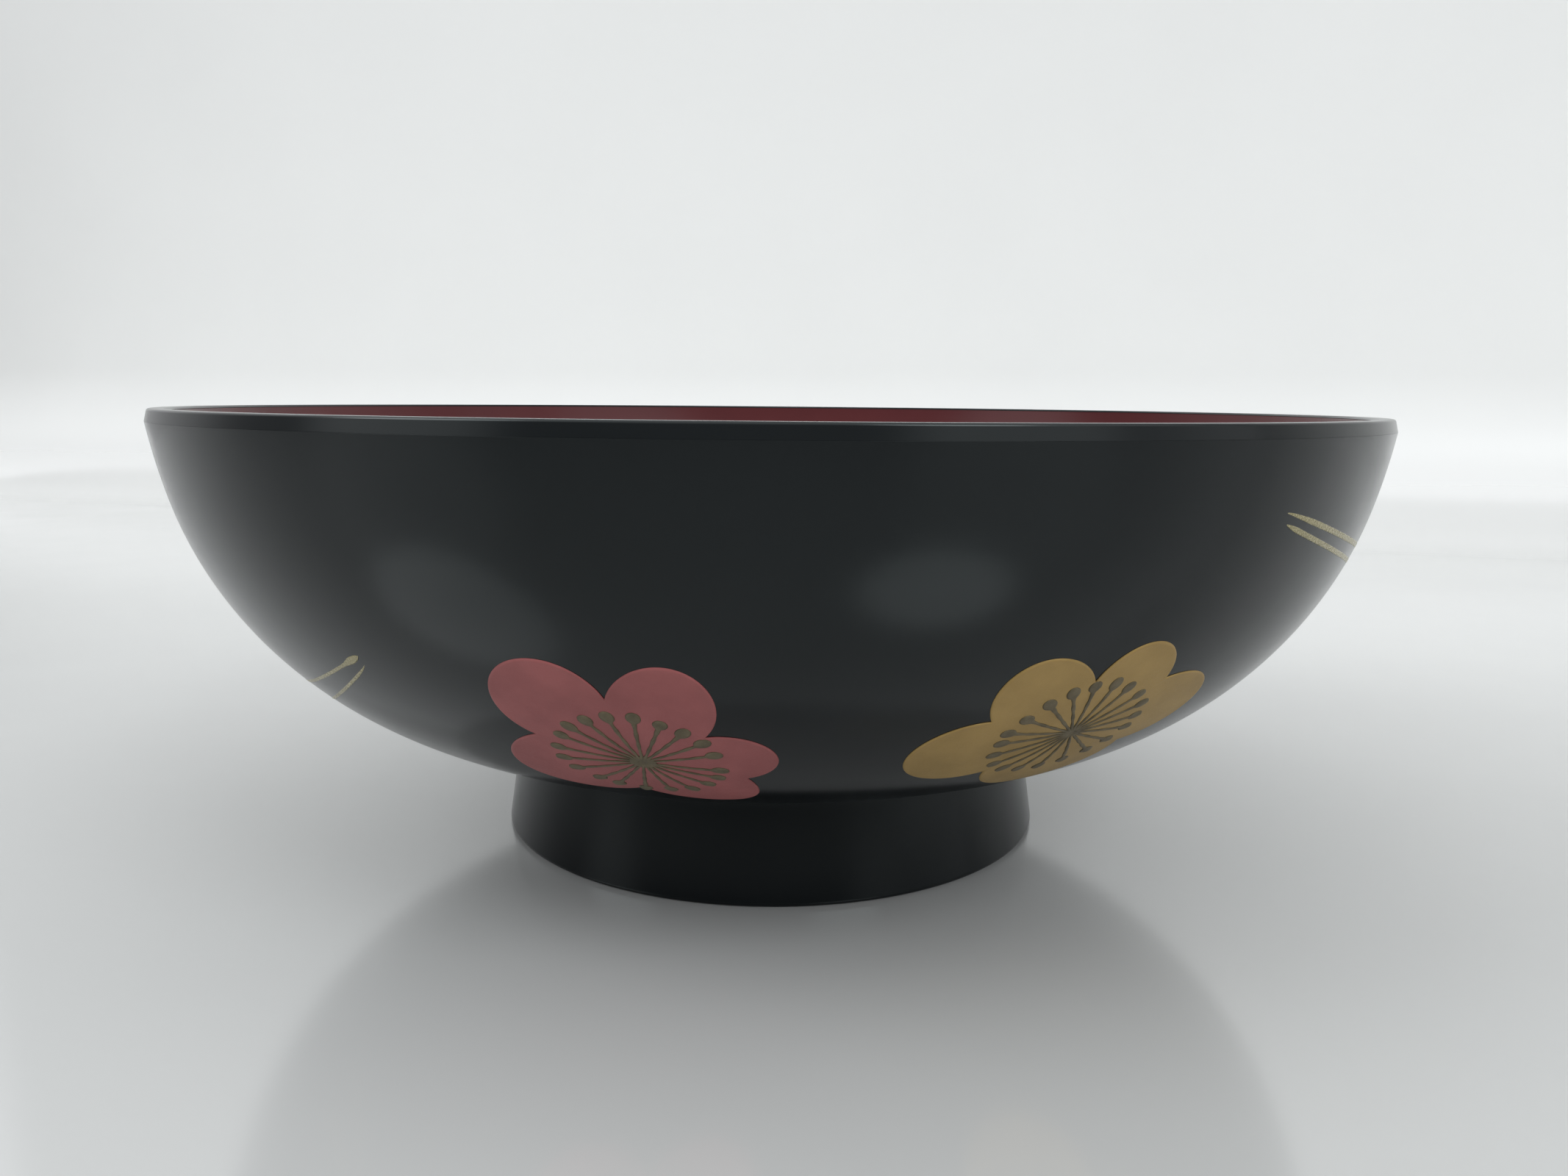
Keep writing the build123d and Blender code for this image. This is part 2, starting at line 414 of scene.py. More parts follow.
# %% Petals
EDGE_ROUND = 0.35  # mm, how far in from the edge the paint reaches full height
MIDDLE_LEVEL = 0.85  # of the full height
BEAD_PLACE, BEAD_WIDTH = 0.5, 0.4  # mm in from the edge
EDGE_RINGS = np.array([0, 0.03, 0.08, 0.16, 0.26, 0.4, 0.6, 0.9, 1.3, 2.0, 3.5, 6.0])  # mm in
MIDDLE_RINGS = np.linspace(0.86, 0.06, 9)  # shares of what is left
UNDERSIDE, UNDERSIDE_SHARE = -0.05 * MM, 0.999  # the hidden ring's depth and its width


def petals(name, place, centre, disc, rows):
    """A polar grid inside the outline, up over the top and back under: a thin closed cushion.

    The height rises as a quarter circle over the last fraction of a millimetre, and a soft bead
    stands a little above the rest just inside the edge.
    """
    bearing = np.linspace(0, 2 * math.pi, OUTLINE_STEPS, endpoint=False)
    reach = petal_reach(bearing, disc, rows)
    edge = reach - EDGE_RINGS[:, None]
    top = np.concatenate([edge, MIDDLE_RINGS[:, None] * edge[-1]])[::-1]
    inward = reach - top
    depth = np.clip(inward / EDGE_ROUND, 0, 1)
    bead = (1 - MIDDLE_LEVEL) * np.exp(-(((inward - BEAD_PLACE) / BEAD_WIDTH) ** 2))
    rise = PAINT_RISE * np.sqrt(1 - (1 - depth) ** 2) * (MIDDLE_LEVEL + bead)
    distance = np.concatenate([top, UNDERSIDE_SHARE * edge[-1:]])
    height = np.concatenate([rise, np.full((1, OUTLINE_STEPS), UNDERSIDE)])
    flat = np.stack([distance * np.cos(bearing), distance * np.sin(bearing)], axis=-1)
    points = lay(flat + np.asarray(centre), place, height).reshape(-1, 3)
    poles = lay(np.array([centre, centre]), place, np.array([PAINT_RISE * MIDDLE_LEVEL, UNDERSIDE]))
    quads = grid_faces(len(distance), OUTLINE_STEPS, False, True)[:, ::-1]
    here = np.arange(OUTLINE_STEPS)
    there = (here + 1) % OUTLINE_STEPS
    last = (len(distance) - 1) * OUTLINE_STEPS
    fans = np.concatenate(
        [
            np.stack([np.full(OUTLINE_STEPS, len(points)), here, there], axis=-1),
            np.stack([np.full(OUTLINE_STEPS, len(points) + 1), last + there, last + here], axis=-1),
        ]
    )
    return make_piece(name, np.concatenate([points, poles]), quads, fans)


# %% [markdown]
# ## The two blossoms
# A blossom's place is the azimuth about the bowl's axis and the slope of the belly under its
# middle, in degrees. Each petal is one oval: its bearing, how far out its middle lies, and half
# its length and half its width. The painter made no two alike, so each has its own row.

# %% Red and gold petals
RED_PLACE = (-100.5, 42.7)
RED_PETALS = [
    (128.6, 15.5, 8.8, 8.8),
    (64.7, 13.7, 8.8, 7.5),
    (1.4, 12.4, 8.0, 6.7),
    (-53.0, 9.6, 12.0, 9.0),
    (-152.6, 10.4, 11.9, 10.2),
]
GOLD_PLACE = (-64.5, 46.9)
GOLD_PETALS = [
    (-164.5, 15.3, 9.9, 8.8),
    (136.1, 13.0, 8.7, 7.7),
    (66.5, 12.2, 7.6, 7.2),
    (7.5, 14.3, 10.6, 8.8),
    (-72.0, 9.0, 12.4, 11.8),
]
red_petals = petals("red_petals", RED_PLACE, (-1.5, 0.0), 12.6, RED_PETALS)
gold_petals = petals("gold_petals", GOLD_PLACE, (0.4, -1.1), 12.3, GOLD_PETALS)

# %% [markdown]
# ## Brush strokes
# Stamens and pine needles are single strokes of a fine brush. A stroke is a path with a width
# at each point, domed across like a bead of paint. The same function draws them all: only the
# path and the widths differ. An extra array axis holds the strokes, so no loop is needed.

# %% Strokes
THIN = 0.4  # mm; a stroke narrower than this stands lower, in proportion
UNDER_SHARE = 0.3  # how deep the underside reaches, as a share of the rise


def strokes(name, place, paths, widths, base, rise, crown=2, across=9):
    """Domed bands along flat paths, all at once, closed underneath.

    paths is strokes x steps x 2 and widths is strokes x steps, in mm. A point is the path plus
    half the width times a share from -1 to 1 along the path's side. Its height is the rise times
    the square root of one minus the share to the power of crown: 2 makes a round bead, and more
    makes a flatter one.
    """
    ahead = np.gradient(paths, axis=1)
    ahead /= np.maximum(np.linalg.norm(ahead, axis=-1, keepdims=True), 1e-9)
    side = np.stack([ahead[..., 1], -ahead[..., 0]], axis=-1)
    share = np.concatenate([np.linspace(-1, 1, across), np.linspace(1, -1, across)[1:-1]])
    dome = np.sqrt(1 - np.abs(np.linspace(-1, 1, across)) ** crown)
    level = np.concatenate([dome, np.full(across - 2, -UNDER_SHARE)])
    flat = paths[:, :, None, :] + side[:, :, None, :] * (widths[..., None] / 2 * share)[..., None]
    fade = np.minimum(1, widths[..., None] / THIN)
    height = base + rise * level * fade
    points = lay(flat, place, height)
    count, steps, loop = points.shape[:3]
    starts = np.arange(count) * steps * loop
    ends = starts + (steps - 1) * loop
    quads = (grid_faces(steps, loop, False, True) + starts[:, None, None]).reshape(-1, 4)
    ring = np.arange(loop)
    caps = []
    for first, order in ((starts, ring[::-1]), (ends, ring)):
        cap = first[:, None] + order
        fan = np.stack([np.repeat(cap[:, :1], loop - 2, axis=1), cap[:, 1:-1], cap[:, 2:]], axis=-1)
        caps.append(fan.reshape(-1, 3))
    return make_piece(name, points, quads, np.concatenate(caps))


print("strokes thinner than", THIN, "mm stand lower")

# %% [markdown]
# ## Stamens
# Each blossom has twenty stamens in dull bronze: a thread that starts thin at the middle and
# swells towards an oval tip. They were drawn by hand, so they are not quite evenly spaced. The
# bearings below keep that, and the widths join thread and tip in one stroke.

# %% Stamens
STAMEN_STEPS = 60
STAMEN_RING = 11.65  # mm from the middle to the tips' middles
THREAD_WIDTH, THREAD_SWELL = 0.50, 0.25  # mm at the hub, and how much more at the tip
TIP_LENGTH, TIP_WIDTH = 1.3, 2.2  # mm; half the oval's length, and its width
WAVER, WAVER_RATE = 0.16, 2.3  # how unsteady the thread's width is, and how fast it changes
TIP_SHIFT, TIP_SPREAD = 0.12, 0.07  # mm; how much the hand varied a tip's place and its length
HUB_GAP = 0.04  # of the way out, where a thread starts
HAIRLINE = 0.02  # mm, the least width
RED_BEARINGS = (
    *(12, 30, 47, 63, 81, 100, 117, 134, 151, 170),
    *(188, 205, 224, 242, 261, 281, 299, 317, 335, 350),
)
GOLD_BEARINGS = (
    *(10, 27, 45, 64, 82, 100, 118, 135, 153, 171),
    *(186, 203, 220, 239, 259, 278, 298, 317, 336, 353),
)


def stamens(name, place, centre, hub, hub_radius, bearings, rng):
    """Straight strokes from the hub to a ring, and a round hub, itself a stroke as wide as long.

    A stroke's width is the thread's or the oval tip's chord, whichever is greater.
    """
    angle = np.radians(bearings)
    tip = np.asarray(centre) + STAMEN_RING * np.stack([np.cos(angle), np.sin(angle)], axis=-1)
    tip += rng.normal(0, TIP_SHIFT, tip.shape)
    start = np.asarray(hub) + (tip - hub) * HUB_GAP
    length = np.linalg.norm(tip - start, axis=1)
    anther = TIP_LENGTH + rng.normal(0, TIP_SPREAD, length.shape)
    run = (np.linspace(0, 1, STAMEN_STEPS) ** 0.8)[None, :] * (length + anther)[:, None]
    path = start[:, None, :] + (tip - start)[:, None, :] / length[:, None, None] * run[..., None]
    phase = rng.uniform(0, 6, length.shape)[:, None]
    thread = THREAD_WIDTH + THREAD_SWELL * (run / length[:, None]) ** 2
    thread = thread * (1 + WAVER * np.sin(run * WAVER_RATE + phase))
    within = np.clip(1 - ((run - length[:, None]) / anther[:, None]) ** 2, 0, 1)
    oval = TIP_WIDTH * np.sqrt(within)
    thread = np.where(run > length[:, None], 0, thread)
    widths = np.maximum(np.maximum(thread, oval), HAIRLINE)
    span = np.linspace(-1, 1, STAMEN_STEPS)
    hub_path = np.asarray(hub) + np.stack([span * hub_radius, 0 * span], axis=-1)
    hub_width = 2 * hub_radius * np.sqrt(np.maximum(1 - span**2, 1e-4))
    path = np.concatenate([path, hub_path[None]])
    widths = np.concatenate([widths, hub_width[None]])
    return strokes(name, place, path, widths, PAINT_RISE * MIDDLE_LEVEL, LINE_RISE)


rng = np.random.default_rng(20)
red_stamens = stamens("red_stamens", RED_PLACE, (-1.2, -0.4), (-0.6, -0.6), 2.0, RED_BEARINGS, rng)
gold_stamens = stamens("gold_stamens", GOLD_PLACE, (0.6, -1.3), (0.7, -0.9), 1.6, GOLD_BEARINGS, rng)

# %% [markdown]
# ## Pine needles
# A pair of needles on each side runs back round the wall. Each is one quick stroke that starts
# with a point or a small blob, where the brush first touched, and then keeps one width. They are
# flatter than the stamens, so their dome has a higher power.

# %% Needles
LEFT_PLACE = (-128.0, 56.0)
RIGHT_PLACE = (-44.0, 73.0)
NEEDLE_STEPS = 100
NEEDLE_RISE = 0.04 * MM
NEEDLE_CROWN = 8
BLOB_PLACE, BLOB_SPREAD = 2.9, 2.2  # mm from the near end, and the bell curve's width


def needles(name, place, rows):
    """Slightly bowed strokes. A row is near end, far end, bow, width, tip length and extra blob.

    The width rises over the tip as the square root of the way along it, then stays even. A blob
    adds a bell curve near the start. The far ends lie out of sight round the wall.
    """
    near, far = np.array([r[0] for r in rows], float), np.array([r[1] for r in rows], float)
    bow, full, tip, blob = np.array([r[2:] for r in rows], float).T[..., None]
    share = np.linspace(0, 1, NEEDLE_STEPS)[None] ** 1.8
    along = far - near
    length = np.linalg.norm(along, axis=1)[:, None]
    side = np.stack([-along[:, 1], along[:, 0]], axis=-1) / length
    arch = bow * np.sin(math.pi * np.sqrt(share))
    path = near[:, None] + along[:, None] * share[..., None] + side[:, None] * arch[..., None]
    run = share * length
    bell = np.exp(-(((run - BLOB_PLACE) / BLOB_SPREAD) ** 2))
    widths = (full + blob * bell) * np.sqrt(np.clip(run / tip, 0.001, 1))
    return strokes(name, place, path, widths, 0.0, NEEDLE_RISE, NEEDLE_CROWN)


left_needles = needles(
    "left_needles",
    LEFT_PLACE,
    [
        ((9.1, 1.4), (-32.0, -17.8), 0.0, 0.64, 0.9, 0.70),
        ((9.0, -0.4), (-31.0, -23.5), 0.5, 0.58, 5.0, 0.0),
    ],
)
right_needles = needles(
    "right_needles",
    RIGHT_PLACE,
    [
        ((-18.0, 4.4), (34.0, -6.8), 0.35, 0.95, 9.0, 0.0),
        ((-16.9, 2.7), (32.0, -9.5), -0.1, 0.88, 3.5, 0.0),
    ],
)

# %% [markdown]
# ## Small helpers for materials
# A finish is a little network of nodes. It could be joined by hand in the Shader Editor. In code,
# one helper adds a node and links it to the ones before, and a few more wrap the nodes that come
# up most often, so that each material reads as a short recipe.

# %% Node helpers
def add(tree, kind, inputs=None, **settings):
    """A node with its settings, each input given as a plain value or as another node's socket."""
    node = tree.nodes.new(kind)
    for name, value in settings.items():
        setattr(node, name, value)
    for name, value in (inputs or {}).items():
        if isinstance(value, bpy.types.NodeSocket):
            tree.links.new(value, node.inputs[name])
        else:
            node.inputs[name].default_value = value
    return node


def shade(*colour):
    """A colour with full opacity."""
    return (*colour, 1.0)


def maths(tree, operation, first, second, third=None):
    """The result socket of one Math node."""
    node = add(tree, "ShaderNodeMath", operation=operation)
    for index, value in enumerate((first, second, third)):
        if isinstance(value, bpy.types.NodeSocket):
            tree.links.new(value, node.inputs[index])
        elif value is not None:
            node.inputs[index].default_value = value
    return node.outputs[0]


def ramp(tree, source, *stops):
    """Colours mixed by a value: each stop is a position and a colour."""
    node = add(tree, "ShaderNodeValToRGB", {"Fac": source})
    elements = node.color_ramp.elements
    while len(elements) < len(stops):
        elements.new(0.5)
    for element, (position, colour) in zip(elements, stops):
        element.position, element.color = position, shade(*colour)
    return node.outputs["Color"]


def mapped(tree, value, start, end, low, high):
    """A value carried smoothly from one span to another, and held level beyond it."""
    node = add(
        tree,
        "ShaderNodeMapRange",
        {"Value": value, "From Min": start, "From Max": end, "To Min": low, "To Max": high},
        interpolation_type="SMOOTHSTEP",
    )
    return node.outputs["Result"]


def object_place(tree):
    """Where a point is on the object, in metres: a pattern on it stays put in every view."""
    return add(tree, "ShaderNodeTexCoord").outputs["Object"]


print("world transform:", scene.view_settings.view_transform)

# %% [markdown]
# ## A material from a recipe
# A recipe is a function that builds the nodes for what varies over a surface and returns their
# sockets. What is the same all over is set on the shader itself, as an artist would type it into
# the Principled BSDF's own fields.

# %% Material maker
def finish(name, recipe, **constants):
    """A material: the recipe links what varies, and the constants are set on the shader itself."""
    material = bpy.data.materials.new(name)
    material.use_nodes = True
    tree = material.node_tree
    tree.nodes.clear()
    shader = add(tree, "ShaderNodeBsdfPrincipled")
    output = add(tree, "ShaderNodeOutputMaterial")
    tree.links.new(shader.outputs["BSDF"], output.inputs["Surface"])
    for socket, value in constants.items():
        shader.inputs[socket.replace("_", " ")].default_value = value
    for socket, source in recipe(tree).items():
        tree.links.new(source, shader.inputs[socket])
    print("finish:", name)
    return material


# %% [markdown]
# ## Shared effects
# An effect that several finishes use is a node group, built once. Its sockets are made through
# the group's interface, and each material places a copy with values of its own. Noise at
# different scales gives both effects here, so nothing has to be painted or unwrapped.

# %% Group helpers
def new_group(name, inputs, outputs):
    """An empty shader node group with named float inputs and typed outputs."""
    group = bpy.data.node_groups.new(name, "ShaderNodeTree")
    for label, value in inputs.items():
        socket = group.interface.new_socket(label, in_out="INPUT", socket_type="NodeSocketFloat")
        socket.default_value = value
    for label, kind in outputs.items():
        group.interface.new_socket(label, in_out="OUTPUT", socket_type=kind)
    return group, add(group, "NodeGroupInput"), add(group, "NodeGroupOutput")


def use_group(tree, group, **values):
    """A copy of a shared effect in this material, with its own values."""
    node = add(tree, "ShaderNodeGroup", node_tree=group)
    for label, value in values.items():
        node.inputs[label.replace("_", " ")].default_value = value
    return node


FLOAT, VECTOR = "NodeSocketFloat", "NodeSocketVector"
print("sockets:", FLOAT, VECTOR)

# %% [markdown]
# ## Rubbed film
# A turned and polished coat keeps a faint cloud and fine level lines from the rubbing. The cloud
# is soft noise. The lines are noise squeezed nearly flat along X and Y, so that it varies with
# height alone. Both change the roughness a little, and the lines also raise a very small bump.

# %% Rubbed film
film, film_in, film_out = new_group(
    "rubbed_film",
    {"Cloud Scale": 30.0, "Line Scale": 900.0, "Roughness": 0.15, "Spread": 0.05, "Bump": 0.1},
    {"Roughness": FLOAT, "Mask": FLOAT, "Normal": VECTOR},
)
place = object_place(film)
cloud = add(
    film,
    "ShaderNodeTexNoise",
    {"Vector": place, "Scale": film_in.outputs["Cloud Scale"], "Detail": 4.0, "Roughness": 0.6},
)
NEARLY_LEVEL = (0.02, 0.02, 1.0)
squeeze = add(film, "ShaderNodeVectorMath", {0: place, 1: NEARLY_LEVEL}, operation="MULTIPLY")
lines = add(
    film,
    "ShaderNodeTexNoise",
    {"Vector": squeeze.outputs[0], "Scale": film_in.outputs["Line Scale"], "Detail": 3.0},
)
mixed = maths(film, "ADD", cloud.outputs["Fac"], lines.outputs["Fac"])
centred = maths(film, "SUBTRACT", mixed, 1.0)
rough = maths(film, "MULTIPLY_ADD", centred, film_in.outputs["Spread"], film_in.outputs["Roughness"])
ripple = add(
    film,
    "ShaderNodeBump",
    {"Height": lines.outputs["Fac"], "Strength": film_in.outputs["Bump"], "Distance": 0.02 * MM},
)
film.links.new(rough, film_out.inputs["Roughness"])
film.links.new(cloud.outputs["Fac"], film_out.inputs["Mask"])
film.links.new(ripple.outputs["Normal"], film_out.inputs["Normal"])
print(film.name, "has", len(film.nodes), "nodes")

# %% [markdown]
# ## Paint grain
# Raised paint looks dry and powdery: soft clouds where the brush left more or less, fine grains,
# and a small bump from the grains. It is two noises, one coarse and one fine.

# %% Paint grain
grain, grain_in, grain_out = new_group(
    "paint_grain",
    {"Cloud Scale": 120.0, "Grain Scale": 3500.0, "Bump": 0.3},
    {"Cloud": FLOAT, "Grain": FLOAT, "Normal": VECTOR},
)
place = object_place(grain)
cloud = add(
    grain,
    "ShaderNodeTexNoise",
    {"Vector": place, "Scale": grain_in.outputs["Cloud Scale"], "Detail": 5.0, "Roughness": 0.55},
)
powder = add(
    grain,
    "ShaderNodeTexNoise",
    {"Vector": place, "Scale": grain_in.outputs["Grain Scale"], "Detail": 2.0},
)
bumps = add(
    grain,
    "ShaderNodeBump",
    {"Height": powder.outputs["Fac"], "Strength": grain_in.outputs["Bump"], "Distance": 0.05 * MM},
)
grain.links.new(cloud.outputs["Fac"], grain_out.inputs["Cloud"])
grain.links.new(powder.outputs["Fac"], grain_out.inputs["Grain"])
grain.links.new(bumps.outputs["Normal"], grain_out.inputs["Normal"])
print(grain.name, "has", len(grain.nodes), "nodes")

# %% [markdown]
# ## Black and red lacquer
# Black lacquer is almost colourless: what the eye sees is the room in it. It gets a very dark
# base, a low but uneven roughness, and a faint ripple. The red inside is the same coat with
# pigment. Both have a low index of refraction, because a rubbed coat mirrors less than new gloss.

# %% Lacquers
def lacquer_recipe(dark, light, **rubbing):
    """Returns a recipe: the colour goes from dark to light in the clouds of the rubbed film."""

    def recipe(tree):
        rub = use_group(tree, film, **rubbing)
        return {
            "Base Color": ramp(tree, rub.outputs["Mask"], (0.3, dark), (0.7, light)),
            "Roughness": rub.outputs["Roughness"],
            "Normal": rub.outputs["Normal"],
        }

    return recipe


black_lacquer = finish(
    "black_lacquer",
    lacquer_recipe(
        (0.0010, 0.0018, 0.0028),
        (0.0022, 0.0032, 0.0044),
        Cloud_Scale=28.0,
        Line_Scale=700.0,
        Roughness=0.17,
        Spread=0.05,
        Bump=0.08,
    ),
    IOR=1.365,
    Specular_Tint=shade(0.92, 1.0, 0.985),
)
red_lacquer = finish(
    "red_lacquer",
    lacquer_recipe(
        (0.088, 0.017, 0.019),
        (0.108, 0.022, 0.024),
        Cloud_Scale=22.0,
        Line_Scale=500.0,
        Roughness=0.20,
        Spread=0.06,
        Bump=0.1,
    ),
    IOR=1.38,
)

# %% [markdown]
# ## The paints
# The paints are matt. The gold and the bronze hold metal powder, so they are partly metallic,
# and the needles' pale gold was burnished and shines most. One recipe serves all four: a dark
# and a light colour, the size of the clouds, the range of roughness and the height of the grain.

# %% Paints
def paint_recipe(dark, light, cloud_scale, rough_low, rough_high, bump):
    """Returns a recipe: the colour goes from dark to light over soft clouds, and grains roughen it."""

    def recipe(tree):
        layer = use_group(tree, grain, Cloud_Scale=cloud_scale, Grain_Scale=3500.0, Bump=bump)
        span = {"Value": layer.outputs["Grain"], "To Min": rough_low, "To Max": rough_high}
        return {
            "Base Color": ramp(tree, layer.outputs["Cloud"], (0.35, dark), (0.65, light)),
            "Roughness": add(tree, "ShaderNodeMapRange", span).outputs["Result"],
            "Normal": layer.outputs["Normal"],
        }

    return recipe


red_paint = finish(
    "red_petal_paint",
    paint_recipe((0.25, 0.063, 0.062), (0.32, 0.086, 0.084), 110.0, 0.42, 0.62, 0.25),
)
gold_paint = finish(
    "gold_petal_paint",
    paint_recipe((0.30, 0.192, 0.056), (0.37, 0.24, 0.075), 110.0, 0.38, 0.58, 0.3),
    Metallic=0.25,
)
bronze_paint = finish(
    "bronze_line_paint",
    paint_recipe((0.085, 0.068, 0.036), (0.14, 0.112, 0.062), 500.0, 0.45, 0.7, 0.4),
    Metallic=0.2,
)
pale_gold_paint = finish(
    "pale_gold_paint",
    paint_recipe((0.265, 0.23, 0.105), (0.305, 0.265, 0.125), 130.0, 0.20, 0.34, 0.10),
    Metallic=0.3,
)

# %% [markdown]
# ## The wood
# The turned core is hidden, but it gets its own finish all the same. A tree's rings are nested
# cylinders, and a Wave texture in ring mode draws just that. Its axis is tilted, because a bowl
# is cut across the trunk, and noise makes the rings waver.

# %% Wood
def wood_recipe(tree):
    """Rings of the tree about a slanting axis, wavering with noise, and a bump that follows them."""
    slant = {"Vector": object_place(tree), "Rotation": (0.2, 1.35, 0.0)}
    tilted = add(tree, "ShaderNodeMapping", slant).outputs["Vector"]
    waver = {"Vector": tilted, "Scale": 90.0, "Distortion": 3.0, "Detail": 3.0, "Detail Scale": 1.5}
    rings = add(tree, "ShaderNodeTexWave", waver, wave_type="RINGS").outputs["Fac"]
    colour = ramp(tree, rings, (0.1, (0.36, 0.22, 0.11)), (0.9, (0.60, 0.42, 0.24)))
    relief = {"Height": rings, "Strength": 0.2, "Distance": 0.1 * MM}
    return {"Base Color": colour, "Normal": add(tree, "ShaderNodeBump", relief).outputs["Normal"]}


wood = finish("turned_wood", wood_recipe, Roughness=0.6)

# %% [markdown]
# ## Putting pieces and finishes together
# Each new piece stands for its CAD node, takes the finish listed beside it, and rides on the
# bowl's only body. The last column names the node's slot. The wooden core keeps its CAD mesh and only gets
# a finish.

# %% Assembly
PIECES = [
    (black_outside, black_lacquer, "outer_black_coat", "black_lacquer"),
    (red_inside, red_lacquer, "inner_red_coat", "red_lacquer"),
    (lip, black_lacquer, "black_lip", "black_lacquer"),
    (foot, black_lacquer, "foot_ring", "black_lacquer"),
    (red_petals, red_paint, "red_blossom_petals", "red_petal_paint"),
    (red_stamens, bronze_paint, "red_blossom_stamens", "bronze_line_paint"),
    (gold_petals, gold_paint, "gold_blossom_petals", "gold_petal_paint"),
    (gold_stamens, bronze_paint, "gold_blossom_stamens", "bronze_line_paint"),
    (left_needles, pale_gold_paint, "left_pine_needles", "pale_gold_paint"),
    (right_needles, pale_gold_paint, "right_pine_needles", "pale_gold_paint"),
]
for piece, material, node, slot in PIECES:
    piece.data.materials.append(material)
    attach(piece, "root")
    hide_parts(node)
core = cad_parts["bowl_core"]
core.data.materials.clear()
core.data.materials.append(wood)
print(len(PIECES), "pieces ride on the bowl's body")

# %% [markdown]
# ## The table and the sweep
# A pale, glossy table runs back into a white sweep, so there is no hard horizon. Dark lacquer is
# lit by what it mirrors: the bowl's sides show the sweep, and its front shows the near table.
# Each sheet is a profile carried sideways. The whole studio is turned a little about the bowl.

# %% Table and sweep
SHEET_COLUMNS = 9
SWEEP_START = 0.53  # metres behind the bowl
SWEEP_RADIUS = 0.11
SWEEP_TURN = math.radians(-15.5)
SWEEP_LEFT_END = -1.02
TABLE_LEFT_END = -0.92
TABLE_FRONT = -0.50
STUDIO_REACH = 3.0
STUDIO_HEIGHT = 2.5


def studio_sheet(name, profile, left, right):
    """A profile of depths and heights carried sideways, then turned about the upright axis."""
    x, y = np.meshgrid(np.linspace(left, right, SHEET_COLUMNS), profile[:, 0])
    z = np.repeat(profile[:, 1:], SHEET_COLUMNS, axis=1)
    c, s = math.cos(SWEEP_TURN), math.sin(SWEEP_TURN)
    points = np.stack([x * c - y * s, x * s + y * c, z], axis=-1)
    return make_piece(name, points, grid_faces(len(profile), SHEET_COLUMNS, False, False)[:, ::-1])


flat = np.stack([np.linspace(TABLE_FRONT, SWEEP_START, 9), np.zeros(9)], axis=-1)
bend = arc_points((SWEEP_START, SWEEP_RADIUS), SWEEP_RADIUS, -90, 0, 32)
upright = np.stack([np.full(6, bend[-1, 0]), np.linspace(SWEEP_RADIUS, STUDIO_HEIGHT, 6)], axis=-1)
table = studio_sheet("table", flat, TABLE_LEFT_END, STUDIO_REACH)
sweep = studio_sheet("sweep", np.concatenate([bend, upright[1:]]), SWEEP_LEFT_END, STUDIO_REACH)

# %% [markdown]
# ## The finish of the table
# One material covers both sheets, so that no line shows where they meet. How far back a point
# lies sets a painted light: the table is paler behind, where the light falls, and darker in front,
# where shade falls. How high it stands turns it to the sweep's own white. Faint clouds of noise
# vary its colour and its shine, and up the sweep it turns dull, so that the background mirrors nothing.

# %% Table finish
UPRIGHT = (0.0, 0.0, 1.0)
# Painted light: from here back the table's colour is made paler, and in front it stays darker, as if in
# shade.
PAINTED_LIGHT_START = -0.05  # metres behind the bowl's axis
PAINTED_LIGHT_BEHIND, WHITER_UP = 0.40, 0.54
CLOUDINESS = 0.10
DULLER_UP = 0.6


def dot_product(tree, vector, way):
    """How far a vector reaches in a direction."""
    return add(tree, "ShaderNodeVectorMath", {0: vector, 1: way}, operation="DOT_PRODUCT").outputs["Value"]


def table_recipe(tree):
    """Pale grey with faint clouds and an uneven shine, with painted light: paler behind, where the light
    falls, and darker in front. White and dull up the sweep.
    """
    place = object_place(tree)
    cloud = add(tree, "ShaderNodeTexNoise", {"Vector": place, "Scale": 9.0, "Detail": 6.0})
    back = (-math.sin(SWEEP_TURN), math.cos(SWEEP_TURN), 0.0)
    depth = dot_product(tree, place, back)
    height = dot_product(tree, place, UPRIGHT)
    # Painted light and shade: paler towards the back, darker near and in front of the bowl.
    far = mapped(tree, depth, PAINTED_LIGHT_START, SWEEP_START, 0.0, PAINTED_LIGHT_BEHIND)
    climb = mapped(tree, height, 0.0, SWEEP_RADIUS, 0.0, 1.0)
    clouded = maths(tree, "MULTIPLY_ADD", cloud.outputs["Fac"], CLOUDINESS, -CLOUDINESS / 2)
    # The sweep's own white, plus the painted light behind the bowl, plus faint clouds.
    whiteness_and_painted_light = maths(tree, "ADD", maths(tree, "MULTIPLY_ADD", climb, WHITER_UP, far), clouded)
    colour = ramp(tree, whiteness_and_painted_light, (0.0, (0.47, 0.473, 0.468)), (1.0, (0.90, 0.90, 0.885)))
    shine = mapped(tree, cloud.outputs["Fac"], 0.0, 1.0, 0.08, 0.15)
    return {"Base Color": colour, "Roughness": maths(tree, "MULTIPLY_ADD", climb, DULLER_UP, shine)}


pale_table = finish("pale_table", table_recipe, IOR=2.1)
for sheet in (table, sweep):
    sheet.data.materials.append(pale_table)

# %% [markdown]
# ## The lamps
# Two oval area lamps stand high in front, one on each side. Each shows in the lacquer as a soft
# patch, so its place and size were set by the patch that it should make, and its power by the
# brightness of the table. An area lamp shines along its own minus Z axis.

# %% Lamps
LAMP_COLOUR = (0.94, 0.98, 1.0)


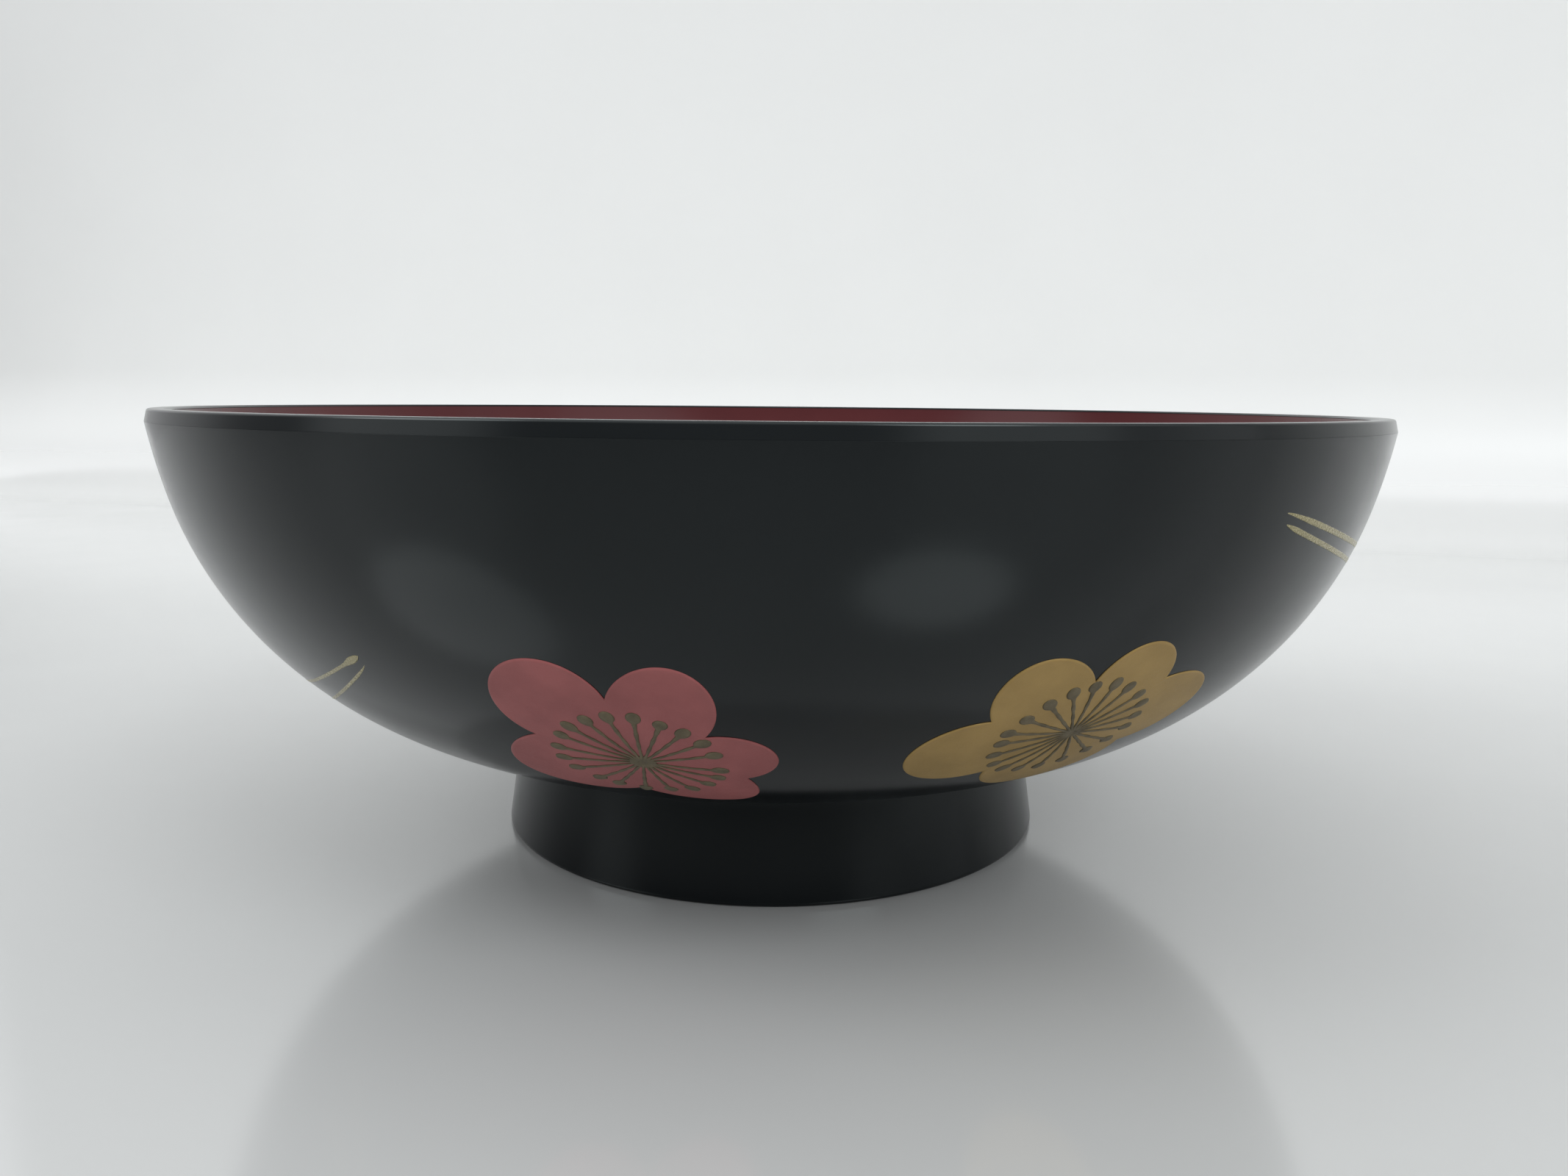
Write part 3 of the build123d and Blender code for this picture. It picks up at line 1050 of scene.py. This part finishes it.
def lamp(name, place, aim, size, power):
    """An oval soft lamp that faces a point: its matrix has the way back from that point as Z."""
    data = bpy.data.lights.new(name, "AREA")
    data.shape = "ELLIPSE"
    data.size, data.size_y = size
    data.energy = power
    data.color = LAMP_COLOUR
    light = bpy.data.objects.new(name, data)
    back = np.asarray(place, float) - np.asarray(aim, float)
    back /= np.linalg.norm(back)
    side = np.cross([0, 0, 1], back)
    side /= np.linalg.norm(side)
    matrix = np.eye(4)
    matrix[:3] = np.stack([side, np.cross(back, side), back, place], axis=-1)
    light.matrix_world = Matrix(matrix.tolist())
    scene.collection.objects.link(light)
    print(name, power, "W")


MIDDLE_OF_FOOT = (0.0, 0.0, 0.0)
lamp("lamp_left", (-1.14, -0.39, 1.08), MIDDLE_OF_FOOT, (0.76, 0.86), 6.6)
lamp("lamp_right", (0.665, -0.986, 1.07), MIDDLE_OF_FOOT, (0.68, 0.58), 6.2)

# %% [markdown]
# ## The room
# The rest of the light is a room that is never built. The world's shader depends on direction
# alone, so each part of it can be set by itself: dim in front, brighter to the sides, and two
# windows. The dot product of a ray and a window's direction says how near the ray is to the
# window, and a smooth map turns that into brightness. The camera sees a plain grey instead.

# %% Room
FRONT_AZIMUTH = -116
LOW_SIDES, LOW_FRONT = 0.56, 0.06
HIGH_SIDES, HIGH_FRONT = 0.85, 0.39
OVERHEAD = 1.15
LEFT_WINDOW, RIGHT_WINDOW = (-157, 24), (-48, 24)  # azimuth and elevation
LEFT_WINDOW_LIGHT, RIGHT_WINDOW_LIGHT = 0.9, 0.8
WINDOW_EDGE, WINDOW_MIDDLE = 0.93, 0.985  # cosines from the window's own direction
PLAIN_GREY = 0.75


def towards(tree, way, azimuth, elevation):
    """Cosine of the angle between a direction and the one at this azimuth and elevation."""
    flat, rise = math.cos(math.radians(elevation)), math.sin(math.radians(elevation))
    aim = (flat * math.cos(math.radians(azimuth)), flat * math.sin(math.radians(azimuth)), rise)
    return dot_product(tree, way, aim)


def window(tree, way, place, light):
    """Brightness that rises smoothly from a window's edge to its middle."""
    return mapped(tree, towards(tree, way, *place), WINDOW_EDGE, WINDOW_MIDDLE, 0.0, light)


def room(tree):
    """Light by direction: dim low in front, brighter to the sides and overhead, and two windows.

    The camera itself sees one even grey in every direction, so that the room never shows.
    """
    way = add(tree, "ShaderNodeTexCoord").outputs["Generated"]
    height = dot_product(tree, way, UPRIGHT)
    front = towards(tree, way, FRONT_AZIMUTH, 0)
    low = mapped(tree, front, 0.02, 0.38, LOW_SIDES, LOW_FRONT)
    high = mapped(tree, front, -0.3, 0.35, HIGH_SIDES, HIGH_FRONT)
    climb = mapped(tree, height, 0.05, 0.28, 0.0, 1.0)
    overhead = mapped(tree, height, 0.3, 0.95, 0.0, OVERHEAD)
    left_window = window(tree, way, LEFT_WINDOW, LEFT_WINDOW_LIGHT)
    right_window = window(tree, way, RIGHT_WINDOW, RIGHT_WINDOW_LIGHT)
    light = maths(tree, "MULTIPLY_ADD", maths(tree, "SUBTRACT", high, low), climb, low)
    for part in (overhead, left_window, right_window):
        light = maths(tree, "ADD", light, part)
    seen = add(tree, "ShaderNodeLightPath").outputs["Is Camera Ray"]
    return maths(tree, "MULTIPLY_ADD", seen, maths(tree, "SUBTRACT", PLAIN_GREY, light), light)


world = bpy.data.worlds.new("studio")
scene.world = world
world.use_nodes = True
background = world.node_tree.nodes["Background"]
background.inputs["Color"].default_value = shade(0.97, 0.985, 1.0)
world.node_tree.links.new(room(world.node_tree), background.inputs["Strength"])
print("the world has", len(world.node_tree.nodes), "nodes")
